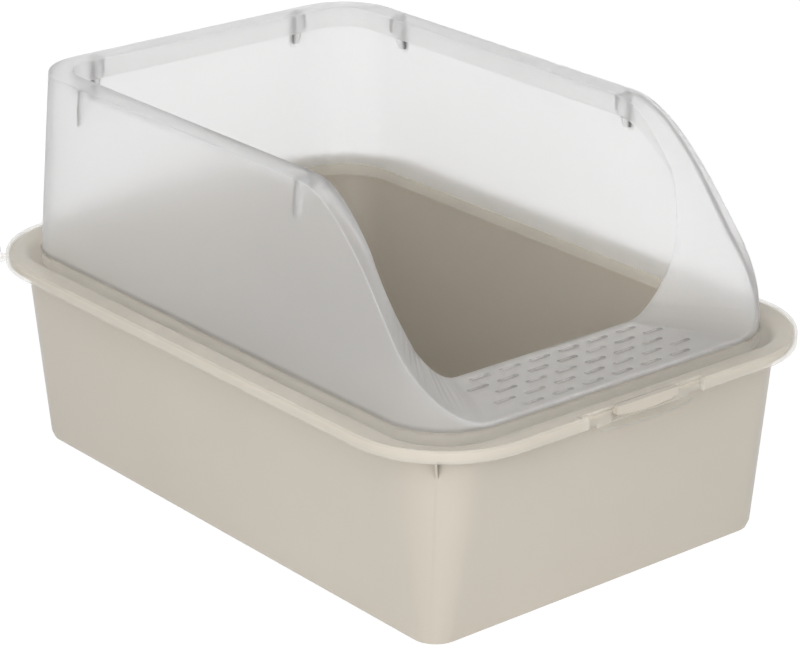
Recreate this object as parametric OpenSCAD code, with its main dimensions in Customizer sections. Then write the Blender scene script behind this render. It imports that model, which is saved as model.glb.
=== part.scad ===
// High-sided open cat litter box: a moulded pan, a translucent surround that clasps
// its rim, with a low step at the front, and one swinging latch at the front.
// Origin: centre of the base. +Z is up, the entry faces -Y.

/* [Pan] */
// How far each side of the pan leans in, from its mouth to the floor
pan_side_lean = 12; // [6:1:20]
// How far each end of the pan leans in, from its mouth to the floor
pan_end_lean = 17; // [8:1:24]
// Corner radius of the pan at the floor
base_r = 21; // [16:1:40]
// Radius of the pan's bottom edge
base_edge = 7; // [4:0.5:9]
// How far the pan's mouth lies inside the edge of its rim
mouth_set = 22.5; // [20:0.5:24]
// Corner radius of the pan's mouth
mouth_r = 45; // [42:1:60]
// Radius of the shoulder from the rim's top down into the mouth
mouth_round = 8; // [5:0.5:9]
// Wall thickness of the pan
pan_wall = 2.2; // [1.6:0.1:3]
// Floor thickness of the pan
floor_t = 3; // [2:0.25:5]
// Height of the turned-down edge of the pan's rim
pan_skirt_h = 6.7; // [5:0.1:8]
// How far down the wall the rim's corner gussets reach
gusset_h = 26; // [15:1:40]

/* [Rim] */
// Overall width over the surround's skirt
rim_w = 385; // [381:1:400]
// Overall length over the surround's skirt
rim_l = 560; // [556:1:575]
// Corner radius of the skirt
rim_r = 78; // [70:1:84]
// Height of the top of the rim above the floor
rim_z = 160; // [130:1:180]
// Height of the skirt
skirt_h = 10.5; // [9.5:0.5:14]
// Radius of the skirt's top edge
skirt_edge = 2.4; // [1.5:0.1:3]
// Gap between the pan's rim and the skirt around it
skirt_gap = 0.5; // [0.3:0.1:1]
// Gap between the pan's rim and the flange that rests over it
seat_gap = 0.3; // [0.2:0.05:0.5]

/* [Surround] */
// Overall height of the product
total_h = 302; // [270:1:330]
// Wall thickness of the surround
guard_t = 2; // [1.6:0.1:2.5]
// How far the surround's wall stands inside the skirt, at the rim
foot_set = 27.7; // [27:0.1:30]
// Corner radius of the wall at the rim
foot_r = 50; // [46:1:54]
// How far each side wall leans in over its full height
side_lean = 7.3; // [3:0.1:10]
// How far the rear wall leans in over its full height
rear_lean = 12; // [5:0.5:16]
// Corner radius of the wall at the top
top_r = 46; // [38:1:52]
// How far the wall reaches down inside the pan's mouth, below the rim's top
apron_h = 9.5; // [6:0.5:14]
// Width of the flat brim around the top opening
brim_w = 18.8; // [14:0.2:22]
// Height of the lip that hangs from the brim's inner edge
lip_h = 15.5; // [8:0.5:20]
// Height of the lip's bead around the entry
bead_h = 3; // [2.8:0.1:5]
// Edge rounding of the moulding
round_e = 0.9; // [0.5:0.1:1]

/* [Entry] */
// Length of the side walls' fall, up to the front corner
side_run = 107; // [90:1:120]
// Height of the step above the rim's top
step_h = 2; // [1.8:0.1:3]
// How far the step's outer edge stands above the step
sill_h = 1.6; // [1.2:0.1:2.5]
// Depth of the step, from the wall's line at the front to the opening
step_depth = 78.5; // [74:0.5:82]
// Corner radius of the opening at the step, seen from above
opening_r = 20; // [14:1:26]
// Height of the fall's steepest point, as a share of the fall
steep_share = 0.56; // [0.5:0.01:0.6]
// Slope of the fall at its steepest point
steep_slope = 1.22; // [1.1:0.01:1.35]
// Steepest point's place along the fall's run
steep_run = 0.49; // [0.45:0.01:0.52]

/* [Slots] */
// Rows of slots in the step
slot_rows = 5; // [3:1:5]
// Slots in the first row, with one more in every second row
slot_count = 6; // [4:1:6]
// Slot length
slot_l = 19; // [14:0.5:20]
// Slot width
slot_w = 3.9; // [3:0.1:4]
// Distance between slots in a row
slot_pitch = 27.4; // [24:0.2:28]
// Distance between rows
row_pitch = 13.8; // [12:0.2:14]
// Distance of the first row from the step's inner edge
row_inset = 11; // [9:0.5:13]

/* [Webs] */
// Thickness of the webs between the wall and the lip
web_t = 1.6; // [1.2:0.1:2.5]
// Height of a web at the wall
web_h = 28; // [20:1:34]
// Distance of the rear pair of side webs from the rear wall
web_back = 81; // [70:1:110]
// Distance of the front pair of side webs behind the start of the fall
web_front = 4; // [2:1:40]
// Distance of the rear wall's webs from the side walls
web_side = 68; // [56:1:84]

/* [Latch] */
// Width of the notch in the skirt that holds the latch
notch_w = 107; // [96:1:112]
// How far the latch lies behind the skirt's face
notch_d = 4; // [3.5:0.1:4.5]
// Width of the catch on the pan's rim
catch_w = 56.6; // [44:0.2:60]
// Height of the catch at its middle
catch_h = 8.6; // [8:0.1:8.8]
// How far the catch's lower edge rises towards its ends
catch_sag = 2.6; // [1.5:0.1:3]
// Thickness of the latch plate
latch_t = 2; // [1.6:0.1:2.2]
// Clearance of the latch's arms beside the catch
arm_gap = 1.2; // [0.6:0.1:2]
// Clearance under the catch as the latch swings
swing_gap = 0.4; // [0.3:0.05:0.6]
// Height of the bar under the window
bar_h = 2.8; // [2.2:0.1:4]
// Width of the finger tab
tab_w = 84; // [60:1:90]
// How far the tab stands out from the plate at its middle
tab_reach = 10; // [6:0.5:12]
// How far the tab's edge falls back towards its ends
tab_bow = 5; // [2:0.5:6]
// Radius of the latch's hinge pins
pin_r = 1.25; // [1:0.05:1.4]
// Length of a hinge pin beyond its arm
pin_l = 3.2; // [2:0.1:3.4]
// Radial clearance of a pin in its hole
pin_gap = 0.06; // [0.04:0.01:0.1]
// Clearance at each end of the latch
end_gap = 0.4; // [0.3:0.05:0.6]
// Thickness of the lugs that carry the pins
lug_t = 4; // [3.8:0.1:5]

/* [Scoop hook] */
// Width of the hook at the rear left corner
hook_w = 12; // [8:1:18]
// How far the hook stands out from the skirt
hook_reach = 12; // [10:0.5:16]
// Clear gap of the hook
hook_gap = 3.6; // [3:0.1:3.8]
// Thickness of the hook
hook_t = 2.2; // [1.8:0.1:3]
// Height of the hook's upright
hook_h = 8; // [6:0.5:9]
// Direction of the hook, turned from the left side towards the rear
hook_turn = 33; // [20:1:50]

/* [Hidden] */
$fn = 48;
// Facets of each quarter-turn corner
corner_n = 12;
// Stations along each falling side and around each front corner
fall_n = 12;
// Facets of a slot's rounded ends
slot_fn = 16;
// Overlap of parts that are moulded as one
eps = 0.6;
// Share of a rounding's radius that its middle point is set in
mid_round = 1 - sqrt(0.5);
// How far the lip reaches below the sheet where it fades out around the entry
bead_step = 0.3;
// Smallest rounding, at the lower edges of the skirts
trim = 0.6;

foot_w = rim_w - 2 * foot_set;
foot_l = rim_l - 2 * foot_set;
mouth_w = rim_w - 2 * mouth_set;
mouth_l = rim_l - 2 * mouth_set;
base_w = mouth_w - 2 * pan_side_lean;
base_l = mouth_l - 2 * pan_end_lean;
fall_start = foot_l / 2 - foot_r - side_run;
opening_y = foot_l / 2 - step_depth;

seat_z = rim_z - guard_t;
pan_top = seat_z - seat_gap;
skirt_z = rim_z - skirt_h;
step_z = rim_z + step_h;
sill_z = step_z + sill_h;
apron_z = rim_z - apron_h;
fall_z = total_h - sill_z;
pan_rim_set = guard_t + skirt_gap;
notch_y = rim_l / 2 - notch_d;
latch_mid = notch_y - latch_t / 2;
pin_z = seat_z - seat_gap - latch_t - swing_gap / 2;
catch_z = rim_z - catch_h;
knuckle_r = latch_t / 2 + 0.7;
catch_y = rim_l / 2 + 0.5;
// The window's lower edge clears the catch's outer corner as the latch swings
swing_r = norm([catch_y - latch_mid, pin_z - catch_z]) + swing_gap;
window_z = pin_z - sqrt(pow(swing_r, 2) - pow(latch_t / 2, 2));
latch_w = notch_w - 2 * end_gap;

// A ring is a rounded outline: [half width, front half length, front radius,
// rear half length, rear radius].
function plain_ring(w, l, r) = [w / 2, l / 2, r, l / 2, r];
function inset(ring, d) = [for (v = ring) v - d];
function mix(a, b, t) = a + (b - a) * t;

rim_ring = plain_ring(rim_w, rim_l, rim_r);
foot_ring = plain_ring(foot_w, foot_l, foot_r);
base_ring = plain_ring(base_w, base_l, base_r);
mouth_ring = plain_ring(mouth_w, mouth_l, mouth_r);

// The surround's wall at height z. Its front corners keep one centre, so that the
// front leans as the sides do.
function rise(z) = (z - rim_z) / (total_h - rim_z);
function wall_ring(z) = [
    foot_w / 2 - side_lean * rise(z),
    foot_l / 2 - side_lean * rise(z),
    foot_r - side_lean * rise(z),
    foot_l / 2 - rear_lean * rise(z),
    mix(foot_r, top_r, rise(z))
];

// A station is a place around an outline: [kind, value, share of the fall's run].
// Kinds: 0 rear middle, 1 rear corner, 2 side, 3 front corner, 4 front middle.
function ring_pt(ring, st) =
    let (
        w = ring[0],
        a = st[1],
        fc = [w - ring[2], ring[1] - ring[2]],
        rc = [w - ring[4], ring[3] - ring[4]]
    )
    st[0] == 0 ? [0, ring[3]] :
    st[0] == 1 ? [-rc[0] - ring[4] * sin(a), rc[1] + ring[4] * cos(a)] :
    st[0] == 2 ? [-w, mix(-fall_start, -fc[1], a)] :
    st[0] == 3 ? [-fc[0] - ring[2] * cos(a), -fc[1] - ring[2] * sin(a)] :
    [0, -ring[1]];

// The fall: its run follows the foot of the wall along the side and round the corner.
corner_run = foot_r * PI / 2;
fall_run = side_run + corner_run;

// Smooth curve from a to b over a run, with end slopes ma and mb
function hermite(a, ma, b, mb, run, t) =
    (1 + 2 * t) * pow(1 - t, 2) * a + t * pow(1 - t, 2) * run * ma
    + t * t * (3 - 2 * t) * b + t * t * (t - 1) * run * mb;

steep_z = sill_z + fall_z * steep_share - 1.5;

// Height of the wall's upper edge at share u of the fall
function ridge_z(u) =
    u <= 0 ? total_h :
    u >= 1 ? sill_z :
    u < steep_run
        ? hermite(total_h, 0, steep_z, -steep_slope, steep_run * fall_run, u / steep_run)
        : hermite(steep_z, -steep_slope, sill_z, 0, (1 - steep_run) * fall_run,
            (u - steep_run) / (1 - steep_run));

function smooth(t) = t <= 0 ? 0 : t >= 1 ? 1 : t * t * (3 - 2 * t);
function brim_z(u) = ridge_z(u) - sill_h * smooth(u);
function lip_at(u) = mix(lip_h, bead_h, smooth(u / 0.6));

// The opening's edge, walked from the start of the fall by its own length
brim_hw = foot_w / 2 - side_lean - brim_w;
brim_rear = [brim_hw, 0, 0, foot_l / 2 - rear_lean - brim_w, top_r - brim_w];
brim_side = opening_y - opening_r - fall_start;
brim_corner = opening_r * PI / 2;
brim_front = brim_hw - opening_r;
// Where, on the wall's fall, the opening's corner starts and ends
corner_from = 0.385;
corner_to = 0.713;
front_run = foot_w / 2 - foot_r;

// Length along the opening's edge that faces a length s along the wall's foot
function facing(s) =
    let (
        s1 = corner_from * fall_run,
        s2 = corner_to * fall_run,
        s3 = fall_run + front_run,
        b1 = brim_side,
        b2 = brim_side + brim_corner,
        b3 = b2 + brim_front
    )
    s < s1 ? b1 * s / s1 :
    s < s2 ? mix(b1, b2, (s - s1) / (s2 - s1)) :
    mix(b2, b3, (s - s2) / (s3 - s2));

// Angle of the opening's outline at length s: 0 faces the side, 90 faces the front
function brim_turn(s) = 90 * min(1, max(0, (s - brim_side) / brim_corner));
function brim_walk(s, out) =
    let (a = brim_turn(s), r = opening_r + out)
    s < brim_side ? [-brim_hw - out, -fall_start - s] :
    [
        -brim_front - r * cos(a) + max(0, s - brim_side - brim_corner),
        -(opening_y - opening_r) - r * sin(a)
    ];

// Length along the wall's foot at a station
function foot_len(st) =
    st[0] == 2 ? st[1] * side_run :
    st[0] == 3 ? side_run + st[1] / 90 * corner_run :
    fall_run + front_run;

// Point of the opening's edge, set out by a distance
function brim_pt(st, out) =
    st[0] < 2 ? ring_pt(inset(brim_rear, -out), st) : brim_walk(facing(foot_len(st)), out);

// Stations of the left half, from the rear middle to the front middle
function share(s) = s / fall_run;
half_stations = concat(
    [[0, 0, 0]],
    [for (i = [0 : corner_n]) [1, 90 * i / corner_n, 0]],
    [for (i = [0 : fall_n]) [2, i / fall_n, share(side_run * i / fall_n)]],
    [for (i = [1 : fall_n]) [3, 90 * i / fall_n, share(side_run + corner_run * i / fall_n)]],
    [[4, 0, 1]]
);

function lift(p, z) = [p[0], p[1], z];
function mirrored(p) = [-p[0], p[1], p[2]];

// Uphill slope of the brim and ramp, seen from above, at the wall or at the opening.
// The sheet's rulings are level, so it rises square to them.
function sheet_pt(st, inner) =
    inner ? brim_pt(st, 0) : ring_pt(wall_ring(ridge_z(st[2])), st);
function uphill(i, inner) =
    let (
        a = half_stations[max(0, i - 1)],
        b = half_stations[min(len(half_stations) - 1, i + 1)],
        here = half_stations[i],
        ruling = sheet_pt(here, true) - sheet_pt(here, false),
        across = [-ruling[1], ruling[0]] / norm(ruling),
        run = (sheet_pt(b, inner) - sheet_pt(a, inner)) * across,
        climb = brim_z(b[2]) - brim_z(a[2])
    )
    abs(climb) < 0.001 || abs(run) < 0.001 ? [0, 0] : across * climb / run;

// Height of the sheet's underside below a point p, when its top is at height z over q
function under_z(z, q, p, slope) =
    z + (p - q) * slope - guard_t * sqrt(1 + slope * slope);

// One section of the surround: skirt, foot, wall, brim, lip, and back inside
function guard_section(i) =
    let (
        st = half_stations[i],
        u = st[2],
        rz = ridge_z(u),
        bz = brim_z(u),
        e = round_e,
        wall = wall_ring(rz),
        edge = ring_pt(inset(wall, e), st),
        brim = brim_pt(st, e),
        lip_in = brim_pt(st, guard_t),
        wall_in = ring_pt(inset(wall, guard_t), st),
        slope = uphill(i, true),
        edge_z = under_z(bz, lip_in, lip_in, slope),
        lip_z = under_z(bz, brim_pt(st, 0), lip_in, slope),
        wall_z = under_z(bz, ring_pt(wall, st), wall_in, uphill(i, false))
    )
    [
        lift(ring_pt(inset(rim_ring, trim), st), skirt_z),
        lift(ring_pt(rim_ring, st), skirt_z + trim),
        lift(ring_pt(rim_ring, st), rim_z - skirt_edge),
        lift(ring_pt(inset(rim_ring, skirt_edge * mid_round), st), rim_z - skirt_edge * mid_round),
        lift(ring_pt(inset(rim_ring, skirt_edge), st), rim_z),
        lift(ring_pt(inset(foot_ring, -step_h), st), rim_z),
        lift(ring_pt(inset(foot_ring, -step_h * mid_round), st), rim_z + step_h * mid_round),
        lift(ring_pt(foot_ring, st), rim_z + step_h),
        lift(ring_pt(wall, st), rz - e),
        lift(ring_pt(inset(wall, e * mid_round), st), rz - e * mid_round),
        lift(edge, rz),
        lift(mix(edge, brim, 0.04), rz - (rz - bz) * 0.2),
        lift(mix(edge, brim, 0.1), bz),
        lift(brim, bz),
        lift(brim_pt(st, e * mid_round), bz - e * mid_round),
        lift(brim_pt(st, 0), bz - e),
        lift(brim_pt(st, 0), min(bz - lip_at(u), edge_z - bead_step)),
        lift(lip_in, min(bz - lip_at(u), lip_z - bead_step)),
        lift(lip_in, lip_z),
        lift(wall_in, wall_z),
        lift(ring_pt(inset(foot_ring, guard_t), st), apron_z),
        lift(ring_pt(foot_ring, st), apron_z),
        lift(ring_pt(foot_ring, st), seat_z),
        lift(ring_pt(inset(rim_ring, guard_t), st), seat_z),
        lift(ring_pt(inset(rim_ring, guard_t), st), skirt_z)
    ];

// Skin of a grid of points: rows of sections, closed along each section. The rows
// close on each other, or the first and last are capped.
module skin(rows, ring_of_rows) {
    m = len(rows[0]);
    n = len(rows);
    last = ring_of_rows ? n : n - 1;
    sides = [
        for (i = [0 : last - 1], j = [0 : m - 1])
            let (a = i * m + j, b = i * m + (j + 1) % m, k = ((i + 1) % n) * m)
            each [[a, k + j, k + (j + 1) % m], [a, k + (j + 1) % m, b]]
    ];
    caps = ring_of_rows ? [] : [
        [for (j = [0 : m - 1]) j],
        [for (j = [m - 1 : -1 : 0]) (n - 1) * m + j]
    ];
    polyhedron([for (row = rows) each row], concat(sides, caps));
}

module guard_shell() {
    n = len(half_stations);
    left = [for (i = [n - 1 : -1 : 0]) guard_section(i)];
    right = [
        for (i = [n - 2 : -1 : 1])
            [for (p = left[i]) mirrored(p)]
    ];
    skin(concat(left, right), true);
}

// A slot lying along X
module slot(l, w) {
    square([l - w, w], center = true);
    for (side = [-1, 1])
        translate([side * (l - w) / 2, 0])
            circle(d = w, $fn = slot_fn);
}

module step_slots() {
    for (row = [0 : slot_rows - 1]) {
        n = slot_count + row % 2;
        for (i = [0 : n - 1])
            translate([(i - (n - 1) / 2) * slot_pitch, -opening_y - row_inset - row * row_pitch,
                step_z - guard_t - 1])
                linear_extrude(guard_t + 2)
                    slot(slot_l, slot_w);
    }
}

// A web that stiffens the brim: its upper edge lies under the brim, from the wall
// at 0 to the lip at gap
module web(gap) {
    rotate([90, 0, 0])
        translate([0, 0, -web_t / 2])
            linear_extrude(web_t)
                polygon([
                    [-eps, eps],
                    [gap + eps, eps],
                    [gap + eps, -0.36 * web_h],
                    [0.75 * gap, -0.44 * web_h],
                    [0.55 * gap, -0.62 * web_h],
                    [0.42 * gap, -0.86 * web_h],
                    [0.3 * gap, -0.95 * web_h],
                    [side_lean / fall_z * web_h * -0.5, -web_h]
                ]);
}

module webs() {
    gap = brim_w - 2 * guard_t;
    top = total_h - guard_t;
    wall_x = foot_w / 2 - side_lean - guard_t;
    wall_y = foot_l / 2 - rear_lean - guard_t;
    for (side = [0, 1])
        mirror([side, 0, 0]) {
            for (y = [foot_l / 2 - web_back, web_front - fall_start])
                translate([-wall_x, y, top])
                    web(gap);
            translate([web_side - foot_w / 2, wall_y, top])
                rotate([0, 0, -90])
                    web(gap);
        }
}

// Hook for the scoop, on the skirt's corner
module scoop_hook() {
    centre = [rim_w / 2 - rim_r, rim_l / 2 - rim_r];
    lip_x = rim_r + hook_gap;
    leg_z = rim_z - hook_h;
    translate([-centre[0], centre[1], 0])
        rotate([0, 0, 180 - hook_turn])
            rotate([90, 0, 0])
                translate([0, 0, -hook_w / 2])
                    linear_extrude(hook_w)
                        polygon([
                            [rim_r - 1.2, leg_z],
                            [rim_r + hook_reach, leg_z - 1],
                            [rim_r + hook_reach, leg_z + 0.8],
                            [lip_x + hook_t, leg_z + hook_t],
                            [lip_x + hook_t * 0.8, leg_z + hook_h],
                            [lip_x + hook_t * 0.2, leg_z + hook_h],
                            [lip_x, leg_z + hook_t + 1],
                            [lip_x - 0.8, leg_z + hook_t + 0.2],
                            [rim_r - 1.2, leg_z + hook_t]
                        ]);
}

module notch_cut() {
    translate([-notch_w / 2, -rim_l / 2 - 1, skirt_z - 1])
        cube([notch_w, notch_d + 1, skirt_h + 2]);
    translate([-notch_w / 2, -notch_y - 1, skirt_z - 1])
        cube([notch_w, 1 + latch_t + knuckle_r, seat_z - skirt_z + 1]);
}

// Lugs at the notch's ends, which carry the latch's pins
module latch_lugs() {
    for (side = [-1, 1])
        translate([side * (notch_w + lug_t) / 2 - lug_t / 2, -rim_l / 2 + skirt_edge, skirt_z + trim])
            cube([lug_t, notch_d + latch_t + knuckle_r - skirt_edge, seat_z - skirt_z - trim + eps]);
}

module pin_holes() {
    translate([-notch_w / 2 - lug_t - eps, -latch_mid, pin_z])
        rotate([0, 90, 0])
            cylinder(r = pin_r + pin_gap, h = notch_w + 2 * lug_t + 2 * eps);
}

module surround() {
    color([0.86, 0.87, 0.86, 0.6])
        difference() {
            union() {
                difference() {
                    guard_shell();
                    step_slots();
                    notch_cut();
                }
                webs();
                scoop_hook();
                latch_lugs();
            }
            pin_holes();
        }
}

// Stations of the pan's outlines, all the way round
function full_ring(ring, z) = [
    for (q = [0 : 3], i = [0 : corner_n])
        let (
            a = 90 * (q + i / corner_n),
            sx = q == 0 || q == 3 ? 1 : -1,
            sy = q < 2 ? 1 : -1
        )
        [
            sx * (ring[0] - ring[2]) + ring[2] * cos(a),
            sy * (ring[1] - ring[2]) + ring[2] * sin(a),
            z
        ]
];

pan_under = pan_top - pan_wall;
shoulder_z = pan_top - mouth_round;
function pan_outer(z) =
    mix(base_ring, inset(mouth_ring, -pan_wall), (z - base_edge) / (shoulder_z - base_edge));

// Outlines of the shoulder on radius r, at angles from the rim's flat to the mouth
function shoulder(r, angles) = [
    for (a = angles)
        full_ring(inset(mouth_ring, r * sin(a) - mouth_round), shoulder_z + r * cos(a))
];
shoulder_turn = [0, 22.5, 45, 67.5, 90];

module pan_shell() {
    pan_rim = inset(rim_ring, pan_rim_set);
    in_r = base_edge - 1;
    skin(concat([
        full_ring(inset(base_ring, base_edge), 0),
        full_ring(inset(base_ring, base_edge * mid_round), base_edge * mid_round),
        full_ring(base_ring, base_edge)
    ], shoulder(mouth_round - pan_wall, [for (i = [4 : -1 : 0]) shoulder_turn[i]]), [
        full_ring(inset(pan_rim, pan_wall), pan_under),
        full_ring(inset(pan_rim, pan_wall), pan_top - pan_skirt_h),
        full_ring(pan_rim, pan_top - pan_skirt_h),
        full_ring(pan_rim, pan_top - 1.2),
        full_ring(inset(pan_rim, 1.2), pan_top)
    ], shoulder(mouth_round, shoulder_turn), [
        full_ring(inset(pan_outer(floor_t + in_r), pan_wall), floor_t + in_r),
        full_ring(inset(pan_outer(floor_t), pan_wall + in_r * mid_round), floor_t + in_r * mid_round),
        full_ring(inset(pan_outer(floor_t), pan_wall + in_r), floor_t)
    ]), false);
}

// Gusset under the rim, on the diagonal of each corner
module gussets() {
    wall_r = mouth_r + pan_wall;
    // Offsets of the corner's centre, from the mouth to the rim and to the base
    rim_shift = sqrt(2) * (rim_r - mouth_r - mouth_set);
    base_shift = sqrt(2) * (mouth_r - base_r) - (pan_side_lean + pan_end_lean) / sqrt(2);
    lean = (wall_r - base_r - base_shift) / (shoulder_z - base_edge);
    rim_reach = rim_r - rim_shift - pan_rim_set - pan_wall;
    low = gusset_h + pan_under - shoulder_z - mouth_round;
    foot_at = mouth_r + pan_wall / 2 - lean * (low + mouth_round);
    for (sx = [0, 1], sy = [0, 1])
        mirror([sx, 0, 0])
            mirror([0, sy, 0])
                translate([mouth_w / 2 - mouth_r, mouth_l / 2 - mouth_r, pan_under])
                    rotate([90, 0, 45])
                        translate([0, 0, -0.9])
                            linear_extrude(1.8)
                                polygon([
                                    [mouth_r + mouth_round, eps],
                                    [rim_reach - 1, eps],
                                    [rim_reach - 1, -2],
                                    [wall_r + 2, -gusset_h * 0.7],
                                    [foot_at + 0.8, -gusset_h],
                                    [foot_at, -gusset_h],
                                    [mouth_r + pan_wall / 2, -mouth_round],
                                    [mouth_r + mouth_round * 0.4, -mouth_round * 0.3]
                                ]);
}

// The rim steps back behind the latch, and carries the catch there
back_y = notch_y - latch_t - knuckle_r - 0.4;
clear_w = notch_w + 2 * lug_t + 1.6;

module rim_step_cut() {
    translate([-clear_w / 2, -rim_l / 2 - 1, skirt_z - 1])
        cube([clear_w, rim_l / 2 - back_y + 1, skirt_h + 2]);
}

module rim_step_wall() {
    translate([-clear_w / 2 - pan_wall, -back_y, pan_top - pan_skirt_h])
        cube([clear_w + 2 * pan_wall, pan_wall, pan_skirt_h - 1]);
}

// The catch: its top is level with the surround's flange and its lower edge is bowed
module catch() {
    bow_r = (pow(catch_w / 2, 2) + pow(catch_sag, 2)) / (2 * catch_sag);
    top = rim_z;
    translate([0, -back_y + pan_wall, 0])
        rotate([90, 0, 0])
            linear_extrude(catch_y - back_y + pan_wall)
                intersection() {
                    translate([-catch_w / 2, catch_z - 1])
                        square([catch_w, pan_top - catch_z + 1 - 0.4]);
                    translate([0, catch_z + bow_r])
                        circle(r = bow_r, $fn = 240);
                }
    translate([0, -notch_y - 0.4, 0])
        rotate([90, 0, 0])
            linear_extrude(catch_y - notch_y - 0.4)
                translate([-catch_w / 2, pan_top - 2])
                    square([catch_w, top - pan_top + 2]);
}

module litter_pan() {
    color([0.79, 0.755, 0.7])
        union() {
            difference() {
                pan_shell();
                rim_step_cut();
            }
            rim_step_wall();
            catch();
            gussets();
        }
}

// Latch: arms beside the catch, a bar under it, a finger tab
module latch() {
    arm_in = catch_w / 2 + arm_gap;
    low_z = window_z - bar_h;
    tab_r = (pow(tab_w / 2, 2) + pow(tab_bow, 2)) / (2 * tab_bow);
    union() {
        translate([0, -notch_y + latch_t, 0])
            rotate([90, 0, 0])
                linear_extrude(latch_t)
                    difference() {
                        union() {
                            translate([-latch_w / 2, skirt_z])
                                square([latch_w, pin_z - skirt_z]);
                            translate([-tab_w / 2, low_z])
                                square([tab_w, skirt_z - low_z + eps]);
                        }
                        translate([-arm_in, window_z + arm_gap])
                            square([2 * arm_in, rim_z - window_z]);
                        translate([-arm_in + arm_gap, window_z])
                            square([2 * (arm_in - arm_gap), arm_gap + eps]);
                        for (side = [-1, 1])
                            translate([side * (arm_in - arm_gap), window_z + arm_gap])
                                circle(r = arm_gap);
                    }
        for (side = [-1, 1])
            translate([side * (arm_in + latch_w / 2) / 2, -latch_mid, pin_z])
                rotate([0, 90, 0])
                    cylinder(r = knuckle_r, h = latch_w / 2 - arm_in, center = true);
        for (side = [-1, 1])
            translate([side * (latch_w + pin_l) / 2, -latch_mid, pin_z])
                rotate([0, 90, 0])
                    cylinder(r = pin_r, h = pin_l + eps, center = true);
        translate([0, 0, low_z])
            linear_extrude(latch_t)
                intersection() {
                    translate([-tab_w / 2, -notch_y - tab_reach])
                        square([tab_w, tab_reach + latch_t / 2]);
                    translate([0, -notch_y - tab_reach + tab_r])
                        circle(r = tab_r, $fn = 360);
                }
    }
}

module front_latch() {
    color([0.84, 0.85, 0.84, 0.6])
        latch();
}

litter_pan();
surround();
front_latch();
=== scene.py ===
# Looks for the open cat litter box: satin greige pan, frosted translucent surround and
# latch, plain white studio. Lengths are in metres unless a name says otherwise.
import math

import bpy
from mathutils import Matrix, Vector


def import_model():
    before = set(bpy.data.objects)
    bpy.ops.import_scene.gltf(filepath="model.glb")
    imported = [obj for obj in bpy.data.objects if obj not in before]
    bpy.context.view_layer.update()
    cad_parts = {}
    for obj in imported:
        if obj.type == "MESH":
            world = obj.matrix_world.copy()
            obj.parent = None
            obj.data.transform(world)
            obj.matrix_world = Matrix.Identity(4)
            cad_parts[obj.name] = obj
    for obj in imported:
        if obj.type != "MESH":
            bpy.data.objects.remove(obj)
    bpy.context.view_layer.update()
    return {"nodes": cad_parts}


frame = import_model()

# Camera, from a fit to the photograph, in metres, degrees and pixels
IMAGE_W, IMAGE_H = 800, 649
CAMERA_AT = (-1.3439, -1.6637, 0.9774)
CAMERA_TO = (0.0107, -0.0121, 0.1335)
CAMERA_ROLL = -0.1
FOCAL_PX = 3074.5
CENTRE_PX = (409.8, 317.2)
SENSOR_MM = 36.0
SIGHT_LIMIT = 30

# Smooth shading of the faceted solids
SHADE_ANGLE = math.radians(38)
WELD = 1e-5

# Plastic
DRIFT = {"Scale": 9.0, "Detail": 3.0}
GLOSS_DRIFT = (-0.04, 0.05)
GRAIN = {"Scale": 900.0, "Detail": 2.0}
GRAIN_RELIEF = {"Strength": 0.08, "Distance": 0.0003}
SHADE_SAMPLES = 8
EDGE_SAMPLES = 4
PLASTIC_IOR = 1.49
FROSTED_IOR = 1.12

# The sheet lies against the pan where its middle is below the top of the rim
RIM_TOP = 0.16
RIM_BLEND = (-0.0001, 0.0004)
HALF_SHEET = 0.001

# Studio
WHITE = (1, 1, 1, 1)
FLOOR_SIZE = 14
FLOOR_Z = -0.0004
FLOOR_COLOUR = (0.82, 0.82, 0.82, 1)
FLOOR_GLOW = 1.09
FLOOR_GLOW_SHARE = 0.9
SKY_COLOUR = (0.97, 0.98, 1, 1)
SKY_STRENGTH = 0.27
# Name, place, aim, size and watts
LAMPS = (
    ("key", (-2.4, -1.3, 0.95), (0, 0, 0.12), (1.6, 1.2), 38),
    ("fill", (0.7, -2.5, 0.8), (0, 0, 0.12), (1.4, 1.0), 16.5),
    ("back", (1.3, 2.3, 1.0), (0, 0, 0.12), (2.4, 1.8), 9),
    ("over", (-1.2, -1.3, 2.0), (0, 0, 0.16), (1.2, 1.2), 12.5),
)

# Sockets of a colour Mix node, which share their names with sockets of other types
MIX_SHARE, MIX_START, MIX_END, MIX_COLOUR = 0, 6, 7, 2


def srgb(r, g, b):
    """Linear colour of an 8-bit display colour."""
    def lin(v):
        v /= 255
        return v / 12.92 if v <= 0.04045 else ((v + 0.055) / 1.055) ** 2.4
    return (lin(r), lin(g), lin(b), 1.0)


def wire(tree, node, sockets):
    """Sets a node's inputs, by name or number, to values or to other nodes' outputs."""
    for key, value in sockets.items():
        if isinstance(value, bpy.types.NodeSocket):
            tree.links.new(value, node.inputs[key])
        else:
            node.inputs[key].default_value = value


def add(tree, kind, sockets=None, **settings):
    """A new node with its settings and its inputs."""
    node = tree.nodes.new(kind)
    for key, value in settings.items():
        setattr(node, key, value)
    wire(tree, node, sockets or {})
    return node


def maths(tree, operation, *values):
    """The result of a Math node."""
    return add(tree, "ShaderNodeMath", dict(enumerate(values)), operation=operation).outputs[0]


def ranged(tree, value, start, end, low=0.0, high=1.0):
    """Between start and end as value goes from low to high, and held beyond them."""
    sockets = {"Value": value, "From Min": low, "From Max": high,
               "To Min": start, "To Max": end}
    return add(tree, "ShaderNodeMapRange", sockets).outputs["Result"]


def blend(tree, share, start, end):
    """A colour between start and end."""
    sockets = {MIX_SHARE: share, MIX_START: start, MIX_END: end}
    return add(tree, "ShaderNodeMix", sockets, data_type="RGBA").outputs[MIX_COLOUR]


def empty_tree(owner):
    """The node tree of a new material or world, emptied."""
    owner.use_nodes = True
    owner.node_tree.nodes.clear()
    return owner.node_tree


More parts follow.
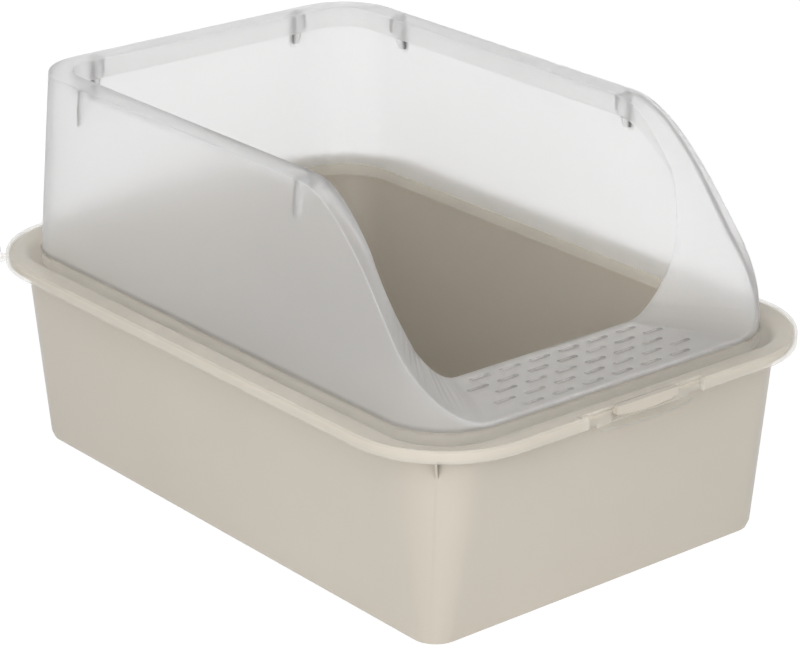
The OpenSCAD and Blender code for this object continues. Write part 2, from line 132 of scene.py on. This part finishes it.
def plastic(name, colour, tint, painted_shade, reach, closed, rough, edge_radius):
    """Moulded plastic: slow drift in colour and gloss, a fine tool-finish grain, soft edges.
    Painted shade: places that the piece itself closes in, within reach, are darkened in their
    base colour towards the shade colour, in full where the open share of their sky is down to
    closed."""
    mat = bpy.data.materials.new(name)
    tree = empty_tree(mat)
    place = add(tree, "ShaderNodeTexCoord").outputs["Object"]
    drift = add(tree, "ShaderNodeTexNoise", {"Vector": place, **DRIFT}).outputs["Fac"]

    sky = add(tree, "ShaderNodeAmbientOcclusion", {"Distance": reach},
              samples=SHADE_SAMPLES, only_local=True).outputs["AO"]
    # Back faces, lit by light already inside the plastic, get no painted shade
    inside = add(tree, "ShaderNodeNewGeometry").outputs["Backfacing"]
    unshaded = maths(tree, "MAXIMUM", ranged(tree, sky, 0, 1, low=closed), inside)

    grain = add(tree, "ShaderNodeTexNoise", {"Vector": place, **GRAIN}).outputs["Fac"]
    bump = add(tree, "ShaderNodeBump", {"Height": grain, **GRAIN_RELIEF})
    if edge_radius:
        edge = add(tree, "ShaderNodeBevel", {"Radius": edge_radius}, samples=EDGE_SAMPLES)
        wire(tree, bump, {"Normal": edge.outputs["Normal"]})

    # Base colour with painted shade: darkened towards the shade colour where the piece closes
    # itself in
    bsdf = add(tree, "ShaderNodeBsdfPrincipled", {
        "Base Color": blend(tree, unshaded, painted_shade, blend(tree, drift, colour, tint)),
        "Roughness": ranged(tree, drift, rough + GLOSS_DRIFT[0], rough + GLOSS_DRIFT[1]),
        "IOR": PLASTIC_IOR,
        "Normal": bump.outputs["Normal"],
    })
    add(tree, "ShaderNodeOutputMaterial", {"Surface": bsdf.outputs["BSDF"]})
    return mat


def frosted(mat, through, rim_through, rim_alpha, painted_bounce_tint):
    """Makes a plastic translucent, letting through that share of the light. Where it lies
    against the pan, from the flange's top down, the pan shows clearly: rim_through is the
    share there and rim_alpha the alpha of upright and of level faces. There the base colour
    also gets a painted warm tint, standing in for light passing to and fro between the two."""
    tree = mat.node_tree
    bsdf = next(n for n in tree.nodes if n.type == "BSDF_PRINCIPLED")
    place = add(tree, "ShaderNodeTexCoord").outputs["Object"]
    height = add(tree, "ShaderNodeSeparateXYZ", {"Vector": place}).outputs["Z"]
    surface = add(tree, "ShaderNodeNewGeometry")
    facing = add(tree, "ShaderNodeSeparateXYZ",
                 {"Vector": surface.outputs["True Normal"]}).outputs["Z"]
    # Height of the plastic's middle: below the outer faces, above the undersides
    inward = ranged(tree, surface.outputs["Backfacing"], -HALF_SHEET, HALF_SHEET)
    middle = maths(tree, "MULTIPLY_ADD", facing, inward, height)
    free = ranged(tree, middle, 0, 1, low=RIM_TOP + RIM_BLEND[0], high=RIM_TOP + RIM_BLEND[1])

    alpha = ranged(tree, maths(tree, "ABSOLUTE", facing), *rim_alpha)
    own_colour = bsdf.inputs["Base Color"].links[0].from_socket
    # Painted bounce light: the base colour is warmed where the sheet lies against the pan
    wire(tree, bsdf, {
        "Base Color": blend(tree, free, painted_bounce_tint, own_colour),
        "Alpha": ranged(tree, free, alpha, 1),
        "Transmission Weight": ranged(tree, free, rim_through, through),
        "IOR": FROSTED_IOR,
    })
    return mat


def smooth_group():
    """Geometry nodes that shade a faceted solid smooth across its shallow edges."""
    tree = bpy.data.node_groups.new("smooth_by_angle", "GeometryNodeTree")
    for way in ("INPUT", "OUTPUT"):
        tree.interface.new_socket("Geometry", in_out=way, socket_type="NodeSocketGeometry")
    angle = add(tree, "GeometryNodeInputMeshEdgeAngle").outputs["Unsigned Angle"]
    steep = add(tree, "FunctionNodeCompare", {"A": angle, "B": SHADE_ANGLE},
                data_type="FLOAT", operation="GREATER_THAN").outputs["Result"]
    solid = add(tree, "NodeGroupInput").outputs["Geometry"]
    steps = (
        ("GeometryNodeMergeByDistance", {"Distance": WELD}, {}),
        ("GeometryNodeRemoveAttribute", {"Name": "custom_normal"}, {}),
        ("GeometryNodeSetShadeSmooth", {}, {"domain": "FACE"}),
        ("GeometryNodeSetShadeSmooth", {"Selection": steep, "Shade Smooth": False},
         {"domain": "EDGE"}),
    )
    for kind, sockets, settings in steps:
        solid = add(tree, kind, {"Geometry": solid, **sockets}, **settings).outputs["Geometry"]
    add(tree, "NodeGroupOutput", {"Geometry": solid})
    return tree


def finish_node(name, mat):
    """A CAD node in its finish, with smooth shading across its shallow facets."""
    obj = frame["nodes"][name]
    for slot in obj.material_slots:
        slot.material = mat
    obj.modifiers.new("smooth", "NODES").node_group = SMOOTH


def seen(tree):
    """1 on camera, glossy and see-through rays, which are to meet plain white, else 0."""
    rays = add(tree, "ShaderNodeLightPath")
    direct = maths(tree, "MAXIMUM", rays.outputs["Is Camera Ray"], rays.outputs["Is Glossy Ray"])
    return maths(tree, "MAXIMUM", direct, rays.outputs["Is Transmission Ray"])


def backdrop():
    """Pale floor. What the camera, gloss and see-through rays meet of it is white,
    apart from the object's shadow."""
    bpy.ops.mesh.primitive_plane_add(size=FLOOR_SIZE, location=(0, 0, FLOOR_Z))
    floor = bpy.context.object
    floor.name = "floor"
    mat = bpy.data.materials.new("floor_pale")
    tree = empty_tree(mat)
    pale = add(tree, "ShaderNodeBsdfDiffuse", {"Color": FLOOR_COLOUR})
    glow = add(tree, "ShaderNodeEmission", {"Strength": FLOOR_GLOW})
    share = maths(tree, "MULTIPLY", seen(tree), FLOOR_GLOW_SHARE)
    mix = add(tree, "ShaderNodeMixShader",
              {"Fac": share, 1: pale.outputs[0], 2: glow.outputs[0]})
    add(tree, "ShaderNodeOutputMaterial", {"Surface": mix.outputs[0]})
    floor.data.materials.append(mat)


def world():
    """White where it is seen, a plain grey light elsewhere."""
    studio = bpy.data.worlds.new("studio")
    bpy.context.scene.world = studio
    tree = empty_tree(studio)
    white = add(tree, "ShaderNodeBackground", {"Color": WHITE})
    light = add(tree, "ShaderNodeBackground", {"Color": SKY_COLOUR, "Strength": SKY_STRENGTH})
    mix = add(tree, "ShaderNodeMixShader",
              {"Fac": seen(tree), 1: light.outputs[0], 2: white.outputs[0]})
    add(tree, "ShaderNodeOutputWorld", {"Surface": mix.outputs[0]})


def look(at, to):
    """Rotation that turns a camera or lamp at one point to another."""
    return (Vector(to) - Vector(at)).to_track_quat("-Z", "Y")


def softbox(name, at, to, size, watts):
    """A rectangular area light."""
    data = bpy.data.lights.new(name, "AREA")
    data.shape = "RECTANGLE"
    data.size, data.size_y = size
    data.energy = watts
    lamp = bpy.data.objects.new(name, data)
    bpy.context.collection.objects.link(lamp)
    lamp.location = at
    lamp.rotation_euler = look(at, to).to_euler()


def camera():
    """The photograph's camera."""
    data = bpy.data.cameras.new("camera")
    data.sensor_fit = "HORIZONTAL"
    data.sensor_width = SENSOR_MM
    data.lens = FOCAL_PX * SENSOR_MM / IMAGE_W
    data.shift_x = (IMAGE_W / 2 - CENTRE_PX[0]) / IMAGE_W
    data.shift_y = (CENTRE_PX[1] - IMAGE_H / 2) / IMAGE_W
    data.clip_end = SIGHT_LIMIT
    cam = bpy.data.objects.new("camera", data)
    bpy.context.collection.objects.link(cam)
    aim = look(CAMERA_AT, CAMERA_TO).to_matrix().to_4x4()
    roll = Matrix.Rotation(math.radians(CAMERA_ROLL), 4, "Z")
    cam.matrix_world = Matrix.Translation(CAMERA_AT) @ aim @ roll
    bpy.context.scene.camera = cam


SMOOTH = smooth_group()

# Painted shade: the pan's inside, the surround's slots and webs and the latch's hollows are
# darkened in their base colour, not by light
PAN = plastic(
    "pan_greige", srgb(208, 200, 187), srgb(203, 195, 181), painted_shade=srgb(150, 142, 129),
    reach=0.45, closed=0, rough=0.36, edge_radius=0.0006)
# The frosted surround and latch also get a painted warm tint, standing in for bounced light,
# where they lie on the pan
FROSTED = frosted(
    plastic("surround_frosted", srgb(247, 247, 247), srgb(244, 244, 244),
            painted_shade=srgb(60, 57, 52), reach=0.005, closed=0.55, rough=0.42, edge_radius=0),
    through=0.8, rim_through=0.33, rim_alpha=(0.32, 0.22), painted_bounce_tint=srgb(245, 241, 232))
CLIP = frosted(
    plastic("latch_frosted", srgb(243, 242, 239), srgb(239, 238, 235),
            painted_shade=srgb(170, 166, 158), reach=0.003, closed=0, rough=0.3, edge_radius=0.0003),
    through=0.82, rim_through=0.7, rim_alpha=(0.6, 0.6), painted_bounce_tint=srgb(240, 237, 230))

finish_node("litter_pan", PAN)
finish_node("surround", FROSTED)
finish_node("front_latch", CLIP)

backdrop()
world()
for lamp_row in LAMPS:
    softbox(*lamp_row)
camera()
bpy.context.scene.view_settings.view_transform = "Standard"
